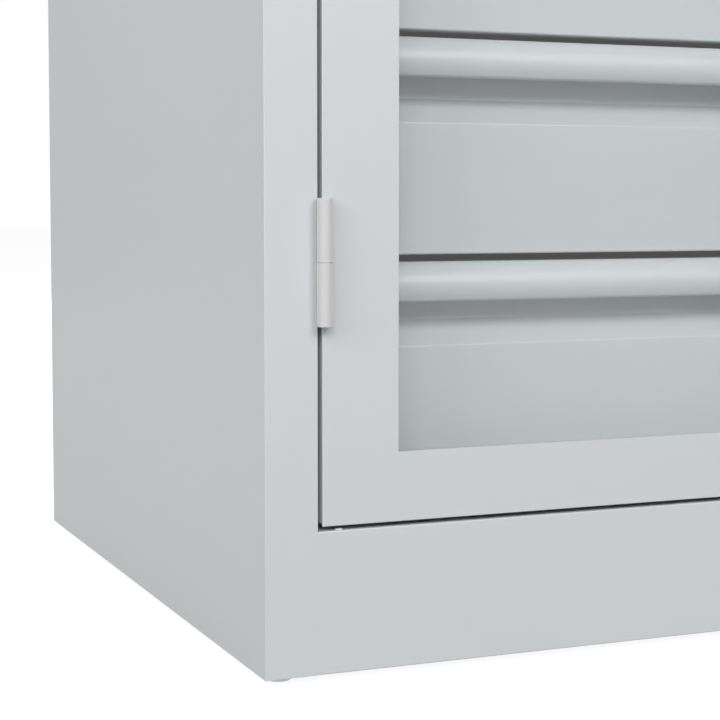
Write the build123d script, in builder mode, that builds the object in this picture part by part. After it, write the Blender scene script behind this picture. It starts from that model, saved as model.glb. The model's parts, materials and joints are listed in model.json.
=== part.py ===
from build123d import *
import os

# Heavy-duty steel cabinet: two window doors, four full-width drawers and three shelves behind them.
# X runs along the front, with 0 in the middle. Y runs to the back. Z is the height above the floor.
# All lengths are in millimetres.

# Carcass
WIDTH = 1000.0
DEPTH = 600.0
HEIGHT = 1950.0
SHEET = 1.5
THIN_SHEET = 1.2
BEND_RADIUS = 0.8
FOOT_REACH = 5.4
POST_FACE = 35.5
POST_DEPTH = 24.0
STOP_FLANGE = 22.5
REAR_FLANGE = 20.0
PLINTH_TOP = 97.0
PLINTH_FLANGE = 22.0
HEADER_FACE = 36.0
FLOOR_TOP = 112.0
FLOOR_FLANGE = 15.0
ROOF_FLANGE = 22.0
ROOF_FLANGE_START = 40.0

# Doors
DOOR_GAP = 3.0
DOOR_THICKNESS = 22.0
DOOR_FLANGE = 20.0
DOOR_EDGE_RADIUS = 0.6
DOOR_CORNER_NOTCH = 2.2
HINGE_STILE = 52.0
LOCK_STILE = 76.0
BOTTOM_RAIL = 45.0
TOP_RAIL = 60.0
PANE_THICKNESS = 4.0
PANE_MARGIN = 14.0
RETAINER_WIDTH = 12.0
STUD_RADIUS = 2.0
STUD_LENGTH = 10.0
NUT_WIDTH = 7.0
NUT_HEIGHT = 3.2
BUMPER_RADIUS = 6.0

# Hinges
HINGE_RADIUS = 5.0
HINGE_LENGTH = 80.0
HINGE_BREAK = 0.2
HINGE_FROM_SIDE = 38.2
HINGE_FORWARD = 5.3
PIN_RADIUS = 3.0
PIN_CLEARANCE = 0.08
LOWEST_HINGE = 266.7

# Lock and handle
HANDLE_HEIGHT = 1005.5
HANDLE_REACH = 44.0
SPINDLE_FROM_EDGE = 32.0
SPINDLE_SIZE = 8.0
CAM_PIN_OFFSET = 10.0
CAM_PIN_RADIUS = 3.0
CAM_RADIUS = 18.0
ROD_OFFSET = 12.0
ROD_WIDTH = 12.0
ROD_THICKNESS = 3.0
ROD_DEPTH = 13.0
ROD_END_INSET = 2.0

# Shelf uprights
UPRIGHT_WIDTH = 40.0
UPRIGHT_STAND_OFF = 30.0
FRONT_UPRIGHT = 83.5
REAR_UPRIGHT = 518.5
UPRIGHT_TOP = 1924.0
SLOT_PITCH = 50.0
SLOT_WIDTH = 10.0
SLOT_HEIGHT = 14.0
FIRST_SLOT = 150.0
SHELF_SLOTS = {"lower": 900.0, "middle": 1250.0, "upper": 1600.0}
SHELF_FLANGE = 25.0
SHELF_FRONT = 75.0
SHELF_BACK = 590.0
CLIP_THICKNESS = 4.0

# Drawers
DRAWER_COUNT = 4
LOWEST_DRAWER_TOP = 264.0
DRAWER_PITCH = 150.0
FRONT_HEIGHT = 145.0
FRONT_FROM_SIDE = 110.0
FACE_SETBACK = 57.0
RECESS_SETBACK = 75.5
BAY_INNER_FACE = 112.0
RUNNER_THICKNESS = 12.7
RUNNER_FRONT = 80.0
RUNNER_BACK = 560.0
BOX_HEIGHT = 100.0
BOX_LIFT = 8.0

# Levelling feet
FOOT_FROM_SIDE = 16.0
FOOT_SETBACK = 21.0
FOOT_RADIUS = 9.8
FOOT_THICKNESS = 4.5
STEM_RADIUS = 5.0
STEM_TOP = 55.0
GUSSET_BOTTOM = 12.0
GUSSET_TOP = 18.0

# Places that follow from the dimensions above
SIDE = -WIDTH / 2
FRONT = -(DEPTH - HANDLE_REACH) / 2
WALL_HEIGHT = HEIGHT - SHEET - FOOT_REACH
HEADER_BOTTOM = HEIGHT - HEADER_FACE
DOOR_BOTTOM = PLINTH_TOP + DOOR_GAP
DOOR_TOP = HEADER_BOTTOM - DOOR_GAP
DOOR_HEIGHT = DOOR_TOP - DOOR_BOTTOM
DOOR_WIDTH = (WIDTH - 2 * POST_FACE - 3 * DOOR_GAP) / 2
DOOR_CENTRE_Z = (DOOR_BOTTOM + DOOR_TOP) / 2
STOP_BOTTOM = PLINTH_TOP + PLINTH_FLANGE
STOP_TOP = HEADER_BOTTOM - DOOR_GAP - PLINTH_FLANGE
HINGE_HEIGHTS = (LOWEST_HINGE, DOOR_CENTRE_Z, 2 * DOOR_CENTRE_Z - LOWEST_HINGE)
INNER_SIDE = WIDTH / 2 - SHEET
CLEAR_HALF_WIDTH = WIDTH / 2 - SHEET - UPRIGHT_STAND_OFF - 2
DRAWER_TOPS = [LOWEST_DRAWER_TOP + DRAWER_PITCH * row for row in range(DRAWER_COUNT)]
FRONT_WIDTH = WIDTH - 2 * FRONT_FROM_SIDE
BOX_FRONT = RECESS_SETBACK + THIN_SHEET
BOX_HALF_WIDTH = WIDTH / 2 - BAY_INNER_FACE - RUNNER_THICKNESS
BAY_TOP = DRAWER_TOPS[-1] + 2
SPINDLE_X = DOOR_GAP / 2 + SPINDLE_FROM_EDGE

os.makedirs("parts", exist_ok=True)


def front_plane(depth):
    """Upright plane this far behind the cabinet's front. A negative extrusion runs to the back."""
    return Plane.XZ.offset(-(FRONT + depth))


def side_plane(x):
    """Plane across the front, with the depth behind the front as its first coordinate."""
    return Plane(origin=(x, FRONT, 0), x_dir=(0, 1, 0), z_dir=(1, 0, 0))


def plan_plane(z):
    """Level plane, measured from the outer front corner of the left side."""
    return Plane(origin=(SIDE, FRONT, z), x_dir=(1, 0, 0), z_dir=(0, 0, 1))


def bent_section(corners, thickness=SHEET, side=Side.LEFT, radius=BEND_RADIUS):
    """Section of a bent sheet, from the corner points of its outer face."""
    ends = [Vector(*corners[0]), Vector(*corners[-1])]
    with BuildSketch() as section:
        with BuildLine():
            Polyline(*corners)
            offset(amount=thickness, side=side, kind=Kind.INTERSECTION)
        make_face()
        bends = [
            corner for corner in section.vertices()
            if all((Vector(corner) - end).length > 2 * thickness for end in ends)
        ]
        fillet(bends, radius=radius)
    return section.sketch


def folded_tray(half_width, front, back, top, flange, thickness):
    """Level sheet with a flange folded down along its four edges."""
    middle = FRONT + (front + back) / 2
    with BuildPart() as tray:
        with BuildSketch(Plane.XY.offset(top)):
            with Locations((0, middle)):
                Rectangle(2 * half_width, back - front)
        extrude(amount=-flange)
        fillet(tray.edges().group_by(Axis.Z)[-1], radius=thickness)
        with BuildSketch(Plane.XY.offset(top - thickness)):
            with Locations((0, middle)):
                Rectangle(2 * (half_width - thickness), back - front - 2 * thickness)
        extrude(amount=-flange, mode=Mode.SUBTRACT)
    return tray.part


# Side panels, each folded from one sheet together with its front post, door stop and rear flange

with BuildPart() as left_side_panel:
    with BuildSketch(plan_plane(FOOT_REACH)):
        add(bent_section([
            (REAR_FLANGE, DEPTH),
            (0, DEPTH),
            (0, 0),
            (POST_FACE, 0),
            (POST_FACE, POST_DEPTH),
            (POST_FACE + STOP_FLANGE, POST_DEPTH),
        ]))
    extrude(amount=WALL_HEIGHT)
    for bottom, top in ((FOOT_REACH, STOP_BOTTOM), (STOP_TOP, HEIGHT)):
        with BuildSketch(plan_plane(bottom)):
            with Locations((POST_FACE, POST_DEPTH)):
                Rectangle(2 * STOP_FLANGE, POST_DEPTH, align=(Align.MIN, Align.CENTER))
        extrude(amount=top - bottom, mode=Mode.SUBTRACT)
    for bottom, top in ((FOOT_REACH, PLINTH_TOP), (HEADER_BOTTOM, HEIGHT)):
        with BuildSketch(plan_plane(bottom)):
            with Locations((POST_FACE - SHEET, -1)):
                Rectangle(2 * SHEET, 2 * POST_DEPTH, align=(Align.MIN, Align.MIN))
        extrude(amount=top - bottom, mode=Mode.SUBTRACT)
left_side_panel.part.label = "left_side_panel"
export_step(left_side_panel.part, "parts/left_side_panel.step")

with BuildPart() as right_side_panel:
    mirror(left_side_panel.part, about=Plane.YZ)
right_side_panel.part.label = "right_side_panel"
export_step(right_side_panel.part, "parts/right_side_panel.step")

# Back panel with two holes for fixing it to a wall

WALL_HOLE_RADIUS = 4.5
WALL_HOLE_SPACING = 800.0
WALL_HOLE_HEIGHT = 1800.0

with BuildPart() as back_panel:
    with BuildSketch(front_plane(DEPTH - SHEET)):
        with Locations((0, FOOT_REACH)):
            back_width = WIDTH - 2 * SHEET - 2 * BEND_RADIUS
            Rectangle(back_width, WALL_HEIGHT, align=(Align.CENTER, Align.MIN))
        with Locations((0, WALL_HOLE_HEIGHT)):
            with GridLocations(WALL_HOLE_SPACING, 0, 2, 1):
                Circle(WALL_HOLE_RADIUS, mode=Mode.SUBTRACT)
    extrude(amount=THIN_SHEET)
back_panel.part.label = "back_panel"
export_step(back_panel.part, "parts/back_panel.step")

# Roof sheet, flush with the walls, with two welded flanges inside them

with BuildPart() as roof_panel:
    with BuildSketch(Plane.XY.offset(HEIGHT - SHEET)):
        with Locations((0, FRONT + DEPTH / 2)):
            RectangleRounded(WIDTH, DEPTH, BEND_RADIUS)
    extrude(amount=SHEET)
    flange_length = DEPTH - 2 * ROOF_FLANGE_START
    with BuildSketch(Plane.XY.offset(HEIGHT - SHEET)):
        with Locations((0, FRONT + DEPTH / 2)):
            with GridLocations(2 * INNER_SIDE - SHEET, 0, 2, 1):
                Rectangle(SHEET, flange_length)
    extrude(amount=-ROOF_FLANGE)
roof_panel.part.label = "roof_panel"
export_step(roof_panel.part, "parts/roof_panel.step")

# Floor pan behind the plinth

floor_panel = folded_tray(
    INNER_SIDE,
    POST_DEPTH + SHEET,
    DEPTH - SHEET - THIN_SHEET,
    FLOOR_TOP,
    FLOOR_FLANGE,
    SHEET,
)
floor_panel.label = "floor_panel"
export_step(floor_panel, "parts/floor_panel.step")

# Plinth and header, welded flush between the posts, each with a door stop and a slot for a lock rod

RAIL_LENGTH = WIDTH - 2 * POST_FACE
RAIL_FACE_LENGTH = RAIL_LENGTH + 2 * SHEET
ROD_SLOT_WIDTH = ROD_WIDTH + 2
ROD_SLOT_DEPTH = ROD_THICKNESS + 2
ROD_MIDDLE = ROD_DEPTH + ROD_THICKNESS / 2

with BuildPart() as plinth_front:
    with BuildSketch(side_plane(-RAIL_FACE_LENGTH / 2)):
        corners = [
            (PLINTH_FLANGE, FOOT_REACH),
            (0, FOOT_REACH),
            (0, PLINTH_TOP),
            (POST_DEPTH, PLINTH_TOP),
            (POST_DEPTH, STOP_BOTTOM),
        ]
        add(bent_section(corners, side=Side.RIGHT))
    extrude(amount=RAIL_FACE_LENGTH)
    with BuildSketch(Plane.XY.offset(PLINTH_TOP)):
        with Locations((0, FRONT + POST_DEPTH)):
            with GridLocations(RAIL_LENGTH + 2 * SHEET, 0, 2, 1):
                Rectangle(2 * SHEET, POST_DEPTH)
    extrude(amount=2 * PLINTH_FLANGE, mode=Mode.SUBTRACT)
    with BuildSketch(Plane.XY.offset(PLINTH_TOP)):
        with Locations((SPINDLE_X + ROD_OFFSET, FRONT + ROD_MIDDLE)):
            Rectangle(ROD_SLOT_WIDTH, ROD_SLOT_DEPTH)
    extrude(amount=-SHEET, mode=Mode.SUBTRACT)
plinth_front.part.label = "plinth_front"
export_step(plinth_front.part, "parts/plinth_front.step")

with BuildPart() as header_rail:
    with BuildSketch(side_plane(-RAIL_FACE_LENGTH / 2)):
        add(bent_section([
            (PLINTH_FLANGE, HEIGHT - SHEET),
            (0, HEIGHT - SHEET),
            (0, HEADER_BOTTOM),
            (POST_DEPTH, HEADER_BOTTOM),
            (POST_DEPTH, STOP_TOP),
        ]))
    extrude(amount=RAIL_FACE_LENGTH)
    with BuildSketch(Plane.XY.offset(HEADER_BOTTOM)):
        with Locations((0, FRONT + POST_DEPTH)):
            with GridLocations(RAIL_LENGTH + 2 * SHEET, 0, 2, 1):
                Rectangle(2 * SHEET, POST_DEPTH)
    extrude(amount=-2 * PLINTH_FLANGE, mode=Mode.SUBTRACT)
    with BuildSketch(Plane.XY.offset(HEADER_BOTTOM)):
        with Locations((SPINDLE_X - ROD_OFFSET, FRONT + ROD_MIDDLE)):
            Rectangle(ROD_SLOT_WIDTH, ROD_SLOT_DEPTH)
    extrude(amount=SHEET, mode=Mode.SUBTRACT)
header_rail.part.label = "header_rail"
export_step(header_rail.part, "parts/header_rail.step")

# Keeper plates that take the lock rods, welded to the hidden side of the plinth and the header

KEEPER_LENGTH = 50.0
KEEPER_WIDTH = 18.0
KEEPER_THICKNESS = 2.0

with BuildPart() as rod_keepers:
    for keeper_x, keeper_z in (
        (SPINDLE_X + ROD_OFFSET, PLINTH_TOP - SHEET - KEEPER_THICKNESS),
        (SPINDLE_X - ROD_OFFSET, HEADER_BOTTOM + SHEET),
    ):
        with BuildSketch(Plane.XY.offset(keeper_z)):
            with Locations((keeper_x, FRONT + ROD_MIDDLE)):
                Rectangle(KEEPER_LENGTH, KEEPER_WIDTH)
                Rectangle(ROD_SLOT_WIDTH, ROD_SLOT_DEPTH, mode=Mode.SUBTRACT)
        extrude(amount=KEEPER_THICKNESS)
rod_keepers.part.label = "rod_keepers"
export_step(rod_keepers.part, "parts/rod_keepers.step")

# Threaded corner gussets for the levelling feet

GUSSET_WIDTH = POST_FACE - 2 * SHEET
GUSSET_DEPTH = 56.0
FOOT_X = WIDTH / 2 - FOOT_FROM_SIDE
FOOT_Y = DEPTH / 2 - FOOT_SETBACK
GUSSET_X = WIDTH / 2 - SHEET - GUSSET_WIDTH / 2
GUSSET_Y = DEPTH / 2 - SHEET - THIN_SHEET - GUSSET_DEPTH / 2
MIDDLE_Y = FRONT + DEPTH / 2

with BuildPart() as corner_gussets:
    with BuildSketch(Plane.XY.offset(GUSSET_BOTTOM)):
        with Locations((0, MIDDLE_Y)):
            with GridLocations(2 * GUSSET_X, 2 * GUSSET_Y, 2, 2):
                Rectangle(GUSSET_WIDTH, GUSSET_DEPTH)
            with GridLocations(2 * FOOT_X, 2 * FOOT_Y, 2, 2):
                Circle(STEM_RADIUS + 0.05, mode=Mode.SUBTRACT)
    extrude(amount=GUSSET_TOP - GUSSET_BOTTOM)
corner_gussets.part.label = "corner_gussets"
export_step(corner_gussets.part, "parts/corner_gussets.step")

# Levelling feet, each a disc on a threaded stem with a hexagon socket on top

SOCKET_RADIUS = 2.9
SOCKET_DEPTH = 6.0

for end_name, end in (("front", -1), ("rear", 1)):
    for hand_name, hand in (("left", -1), ("right", 1)):
        with BuildPart() as foot:
            with BuildSketch(Plane(origin=(hand * FOOT_X, MIDDLE_Y + end * FOOT_Y, 0))):
                Circle(FOOT_RADIUS)
            extrude(amount=FOOT_THICKNESS)
            fillet(foot.edges().group_by(Axis.Z)[-1], radius=0.8)
            with BuildSketch(foot.faces().sort_by(Axis.Z)[-1]):
                Circle(STEM_RADIUS)
            extrude(amount=STEM_TOP - FOOT_THICKNESS)
            with BuildSketch(foot.faces().sort_by(Axis.Z)[-1]):
                RegularPolygon(SOCKET_RADIUS, 6)
            extrude(amount=-SOCKET_DEPTH, mode=Mode.SUBTRACT)
        foot.part.label = f"{end_name}_{hand_name}_foot"
        export_step(foot.part, f"parts/{end_name}_{hand_name}_foot.step")

# Slotted uprights, two on each side wall

UPRIGHT_LENGTH = UPRIGHT_TOP - FLOOR_TOP
SLOT_COUNT = int((UPRIGHT_TOP - FIRST_SLOT) // SLOT_PITCH) + 1
SLOT_MIDDLE = FIRST_SLOT + SLOT_PITCH * (SLOT_COUNT - 1) / 2

with BuildPart() as left_uprights:
    with BuildSketch(plan_plane(FLOOR_TOP)):
        for front_edge in (FRONT_UPRIGHT, REAR_UPRIGHT):
            add(bent_section([
                (SHEET, front_edge + UPRIGHT_WIDTH),
                (SHEET + UPRIGHT_STAND_OFF, front_edge + UPRIGHT_WIDTH),
                (SHEET + UPRIGHT_STAND_OFF, front_edge),
                (SHEET, front_edge),
            ], side=Side.RIGHT))
    extrude(amount=UPRIGHT_LENGTH)
    with BuildSketch(side_plane(SIDE + SHEET + UPRIGHT_STAND_OFF)):
        for front_edge in (FRONT_UPRIGHT, REAR_UPRIGHT):
            with Locations((front_edge + UPRIGHT_WIDTH / 2, SLOT_MIDDLE)):
                with GridLocations(0, SLOT_PITCH, 1, SLOT_COUNT):
                    Rectangle(SLOT_WIDTH, SLOT_HEIGHT)
    extrude(amount=-2 * SHEET, mode=Mode.SUBTRACT)

with BuildPart() as uprights:
    add(left_uprights.part)
    mirror(left_uprights.part, about=Plane.YZ)
uprights.part.label = "uprights"
export_step(uprights.part, "parts/uprights.step")

# Shelves, and the clips that hang them in the slots of the uprights

for shelf_name, slot_z in SHELF_SLOTS.items():
    shelf_top = slot_z - SLOT_HEIGHT / 2 + CLIP_THICKNESS + SHELF_FLANGE
    shelf = folded_tray(
        CLEAR_HALF_WIDTH,
        SHELF_FRONT,
        SHELF_BACK,
        shelf_top,
        SHELF_FLANGE,
        THIN_SHEET,
    )
    shelf.label = f"shelf_{shelf_name}"
    export_step(shelf, f"parts/shelf_{shelf_name}.step")

CLIP_WIDTH = 18.0
CLIP_REACH = 14.0
CLIP_HOOK = 5.0

with BuildPart() as left_clips:
    for slot_z in SHELF_SLOTS.values():
        with BuildSketch(plan_plane(slot_z - SLOT_HEIGHT / 2)):
            for front_edge in (FRONT_UPRIGHT, REAR_UPRIGHT):
                with Locations((SHEET + UPRIGHT_STAND_OFF, front_edge + UPRIGHT_WIDTH / 2)):
                    Rectangle(CLIP_REACH, CLIP_WIDTH, align=(Align.MIN, Align.CENTER))
                    Rectangle(CLIP_HOOK, SLOT_WIDTH - 1, align=(Align.MAX, Align.CENTER))
        extrude(amount=CLIP_THICKNESS)

with BuildPart() as shelf_clips:
    add(left_clips.part)
    mirror(left_clips.part, about=Plane.YZ)
shelf_clips.part.label = "shelf_clips"
export_step(shelf_clips.part, "parts/shelf_clips.step")

# Walls and cover of the drawer bay

BAY_FLANGE_GAP = 1.5
COVER_FRONT = 79.5
COVER_FLANGE = 8.5

with BuildPart() as left_bay_wall:
    with BuildSketch(plan_plane(FLOOR_TOP)):
        corners = [
            (SHEET + BAY_FLANGE_GAP, FRONT_UPRIGHT - SHEET),
            (BAY_INNER_FACE, FRONT_UPRIGHT - SHEET),
            (BAY_INNER_FACE, REAR_UPRIGHT + UPRIGHT_WIDTH + SHEET),
            (SHEET + BAY_FLANGE_GAP, REAR_UPRIGHT + UPRIGHT_WIDTH + SHEET),
        ]
        add(bent_section(corners))
    extrude(amount=BAY_TOP - FLOOR_TOP)
    with BuildSketch(plan_plane(BAY_TOP - COVER_FLANGE - 1)):
        Rectangle(BAY_INNER_FACE - 2 * SHEET, DEPTH, align=(Align.MIN, Align.MIN))
    extrude(amount=COVER_FLANGE + 1, mode=Mode.SUBTRACT)

with BuildPart() as drawer_bay_walls:
    add(left_bay_wall.part)
    mirror(left_bay_wall.part, about=Plane.YZ)
drawer_bay_walls.part.label = "drawer_bay_walls"
export_step(drawer_bay_walls.part, "parts/drawer_bay_walls.step")

drawer_bay_cover = folded_tray(
    CLEAR_HALF_WIDTH,
    COVER_FRONT,
    SHELF_BACK,
    BAY_TOP + THIN_SHEET,
    COVER_FLANGE,
    THIN_SHEET,
)
drawer_bay_cover.label = "drawer_bay_cover"
export_step(drawer_bay_cover, "parts/drawer_bay_cover.step")

# Telescopic runners: a fixed, a middle and a moving channel, one inside the other

FIXED_CHANNEL = 45.0
MIDDLE_CHANNEL = 36.0
MOVING_CHANNEL = 27.0
CHANNEL_DEPTH = 9.0
MIDDLE_STANDOFF = 2.2
MIDDLE_DEPTH = 7.5
RUNNER_LENGTH = RUNNER_BACK - RUNNER_FRONT
CHANNEL_BEND_RADIUS = 1.6


def runner_height(drawer_top):
    """Height of a drawer's runners, at half the height of its box."""
    return drawer_top - FRONT_HEIGHT + BOX_LIFT + BOX_HEIGHT / 2


def channel_pair(web_face, direction, height, reach, middle_z):
    """Left and right runner channel. The web's outer face lies web_face from the side wall."""
    with BuildPart() as left_channel:
        with BuildSketch(Plane(
            origin=(SIDE + web_face, FRONT + RUNNER_FRONT, middle_z),
            x_dir=(direction, 0, 0),
            z_dir=(0, direction, 0),
        )):
            with BuildLine():
                FilletPolyline(
                    (reach, height / 2),
                    (0, height / 2),
                    (0, -height / 2),
                    (reach, -height / 2),
                    radius=CHANNEL_BEND_RADIUS,
                )
                offset(amount=THIN_SHEET, side=Side.LEFT)
            make_face()
        extrude(amount=direction * RUNNER_LENGTH)
    with BuildPart() as pair:
        add(left_channel.part)
        mirror(left_channel.part, about=Plane.YZ)
    return pair.part


fixed_channels = [
    channel_pair(BAY_INNER_FACE, 1, FIXED_CHANNEL, CHANNEL_DEPTH, runner_height(top))
    for top in DRAWER_TOPS
]
with BuildPart() as fixed_runners:
    add(fixed_channels)
fixed_runners.part.label = "fixed_runners"
export_step(fixed_runners.part, "parts/fixed_runners.step")

# Drawers, numbered from the lowest

GRIP_FORWARD = 47.2
GRIP_MIDDLE_DROP = 13.0
LIP_SETBACK = 48.9
LIP_DROP = 24.5
LIP_RADIUS = 2.2
LIP_TURN = 71
UNDERSIDE_LENGTH = 23.9
FRONT_BEND_RADIUS = 1.3
RECESS_BOTTOM_DROP = 40.0
FACE_TOP_DROP = 56.7
FRONT_FLANGE = 14.0
END_PLATE_TOP_DROP = 58.0

for number, top in enumerate(DRAWER_TOPS, start=1):
    bottom = top - FRONT_HEIGHT

    with BuildPart() as drawer_front:
        with BuildSketch(side_plane(-FRONT_WIDTH / 2)):
            with BuildLine():
                FilletPolyline(
                    (FACE_SETBACK + FRONT_FLANGE, bottom),
                    (FACE_SETBACK, bottom),
                    (FACE_SETBACK, top - FACE_TOP_DROP),
                    (RECESS_SETBACK, top - RECESS_BOTTOM_DROP),
                    (RECESS_SETBACK, top - THIN_SHEET),
                    (FACE_SETBACK, top - THIN_SHEET),
                    radius=FRONT_BEND_RADIUS,
                )
                grip = ThreePointArc(
                    (FACE_SETBACK, top - THIN_SHEET),
                    (GRIP_FORWARD, top - GRIP_MIDDLE_DROP),
                    (LIP_SETBACK, top - LIP_DROP),
                )
                lip = JernArc(grip @ 1, grip % 1, LIP_RADIUS, LIP_TURN)
                offset(amount=THIN_SHEET, side=Side.RIGHT)
            make_face()
            run = lip % 1 * UNDERSIDE_LENGTH
            rise = (lip % 1).rotate(Axis.Z, -90) * THIN_SHEET
            with BuildLine():
                Polyline(
                    lip @ 1,
                    lip @ 1 + run,
                    lip @ 1 + run + rise,
                    lip @ 1 + rise,
                    close=True,
                )
            make_face()
        extrude(amount=FRONT_WIDTH)
        plate_height = FRONT_HEIGHT - END_PLATE_TOP_DROP - THIN_SHEET
        plate_depth = FRONT_FLANGE - THIN_SHEET
        with BuildSketch(front_plane(FACE_SETBACK + THIN_SHEET)):
            with Locations((0, bottom + THIN_SHEET + plate_height / 2)):
                with GridLocations(FRONT_WIDTH - THIN_SHEET, 0, 2, 1):
                    Rectangle(THIN_SHEET, plate_height)
        extrude(amount=-plate_depth)
    drawer_front.part.label = f"drawer_{number}_front"
    export_step(drawer_front.part, f"parts/drawer_{number}_front.step")

    with BuildPart() as drawer_box:
        with BuildSketch(Plane.XY.offset(bottom + BOX_LIFT)):
            with Locations((0, FRONT + (BOX_FRONT + RUNNER_BACK) / 2)):
                Rectangle(2 * BOX_HALF_WIDTH, RUNNER_BACK - BOX_FRONT)
        extrude(amount=BOX_HEIGHT)
        offset(amount=-THIN_SHEET, openings=drawer_box.faces().sort_by(Axis.Z)[-1])
    drawer_box.part.label = f"drawer_{number}_box"
    export_step(drawer_box.part, f"parts/drawer_{number}_box.step")

    runner_z = runner_height(top)
    moving = channel_pair(
        BAY_INNER_FACE + RUNNER_THICKNESS, -1, MOVING_CHANNEL, MIDDLE_DEPTH, runner_z
    )
    moving.label = f"drawer_{number}_rails"
    export_step(moving, f"parts/drawer_{number}_rails.step")

    middle = channel_pair(
        BAY_INNER_FACE + MIDDLE_STANDOFF, 1, MIDDLE_CHANNEL, MIDDLE_DEPTH, runner_z
    )
    middle.label = f"drawer_{number}_middle_slides"
    export_step(middle, f"parts/drawer_{number}_middle_slides.step")

# Doors

WINDOW_WIDTH = DOOR_WIDTH - HINGE_STILE - LOCK_STILE
WINDOW_HEIGHT = DOOR_HEIGHT - BOTTOM_RAIL - TOP_RAIL
WINDOW_Z = DOOR_BOTTOM + BOTTOM_RAIL + WINDOW_HEIGHT / 2
DOOR_X = (DOOR_GAP + DOOR_WIDTH) / 2
WINDOW_X = DOOR_X + (LOCK_STILE - HINGE_STILE) / 2
PANE_WIDTH = WINDOW_WIDTH + 2 * PANE_MARGIN
PANE_HEIGHT = WINDOW_HEIGHT + 2 * PANE_MARGIN
STUD_RING_WIDTH = WINDOW_WIDTH + PANE_MARGIN
STUD_RING_HEIGHT = WINDOW_HEIGHT + PANE_MARGIN
STUD_ROWS = 7
STUD_COLUMNS = 3
HINGE_X = WIDTH / 2 - HINGE_FROM_SIDE
HINGE_Y = FRONT - HINGE_FORWARD
HINGE_HALF = (HINGE_LENGTH - HINGE_BREAK) / 2


def stud_places():
    """Centres of the studs round a window, as points on the front plane."""
    row_step = STUD_RING_HEIGHT / (STUD_ROWS - 1)
    column_step = STUD_RING_WIDTH / (STUD_COLUMNS - 1)
    uprights_x = (WINDOW_X - STUD_RING_WIDTH / 2, WINDOW_X + STUD_RING_WIDTH / 2)
    rails_z = (WINDOW_Z - STUD_RING_HEIGHT / 2, WINDOW_Z + STUD_RING_HEIGHT / 2)
    places = [
        (x, rails_z[0] + row_step * row) for x in uprights_x for row in range(STUD_ROWS)
    ]
    places += [
        (uprights_x[0] + column_step * column, z)
        for z in rails_z
        for column in range(1, STUD_COLUMNS - 1)
    ]
    return places


def door_panel(with_lock):
    """Right-hand door sheet, folded back on four edges, with its window and welded studs."""
    with BuildPart() as panel:
        with BuildSketch(front_plane(0)):
            with Locations((DOOR_X, DOOR_CENTRE_Z)):
                Rectangle(DOOR_WIDTH, DOOR_HEIGHT)
        extrude(amount=-DOOR_THICKNESS)
        fillet(panel.edges().group_by(Axis.Y)[0], radius=DOOR_EDGE_RADIUS)
        with BuildSketch(front_plane(SHEET)):
            with Locations((DOOR_X, DOOR_CENTRE_Z)):
                Rectangle(DOOR_WIDTH - 2 * SHEET, DOOR_HEIGHT - 2 * SHEET)
        extrude(amount=-(DOOR_THICKNESS - 2 * SHEET), mode=Mode.SUBTRACT)
        with BuildSketch(front_plane(DOOR_THICKNESS - SHEET)):
            with Locations((DOOR_X, DOOR_CENTRE_Z)):
                Rectangle(DOOR_WIDTH - 2 * DOOR_FLANGE, DOOR_HEIGHT - 2 * DOOR_FLANGE)
        extrude(amount=-SHEET, mode=Mode.SUBTRACT)
        with BuildSketch(front_plane(SHEET)):
            with Locations((DOOR_X, DOOR_CENTRE_Z)):
                with GridLocations(DOOR_WIDTH, DOOR_HEIGHT, 2, 2):
                    Rectangle(2 * DOOR_CORNER_NOTCH, 2 * DOOR_CORNER_NOTCH)
        extrude(amount=-DOOR_THICKNESS, mode=Mode.SUBTRACT)
        with BuildSketch(front_plane(0)):
            with Locations((WINDOW_X, WINDOW_Z)):
                Rectangle(WINDOW_WIDTH, WINDOW_HEIGHT)
            if with_lock:
                with Locations((SPINDLE_X, HANDLE_HEIGHT)):
                    Circle(SPINDLE_SIZE)
        extrude(amount=-SHEET, mode=Mode.SUBTRACT)
        if with_lock:
            for rod_x, edge_z in (
                (SPINDLE_X + ROD_OFFSET, DOOR_BOTTOM),
                (SPINDLE_X - ROD_OFFSET, DOOR_TOP - SHEET),
            ):
                with BuildSketch(Plane.XY.offset(edge_z)):
                    with Locations((rod_x, FRONT + ROD_MIDDLE)):
                        Rectangle(ROD_SLOT_WIDTH - 1, ROD_SLOT_DEPTH - 0.5)
                extrude(amount=SHEET, mode=Mode.SUBTRACT)
        with BuildSketch(front_plane(SHEET)):
            with Locations(*stud_places()):
                Circle(STUD_RADIUS)
        extrude(amount=-STUD_LENGTH)
    return panel.part


def window_pane():
    """Clear pane behind the window of the right-hand door, drilled for the studs."""
    with BuildPart() as pane:
        with BuildSketch(front_plane(SHEET)):
            with Locations((WINDOW_X, WINDOW_Z)):
                Rectangle(PANE_WIDTH, PANE_HEIGHT)
            with Locations(*stud_places()):
                Circle(STUD_RADIUS, mode=Mode.SUBTRACT)
        extrude(amount=-PANE_THICKNESS)
    return pane.part


def window_retainers():
    """Four flat strips that hold the pane of the right-hand door against the sheet."""
    with BuildPart() as strips:
        with BuildSketch(front_plane(SHEET + PANE_THICKNESS)):
            with Locations((WINDOW_X, WINDOW_Z)):
                with GridLocations(STUD_RING_WIDTH, 0, 2, 1):
                    Rectangle(RETAINER_WIDTH, STUD_RING_HEIGHT + RETAINER_WIDTH)
                with GridLocations(0, STUD_RING_HEIGHT, 1, 2):
                    Rectangle(STUD_RING_WIDTH - RETAINER_WIDTH - 1, RETAINER_WIDTH)
            with Locations(*stud_places()):
                Circle(STUD_RADIUS, mode=Mode.SUBTRACT)
        extrude(amount=-SHEET)
    return strips.part


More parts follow.
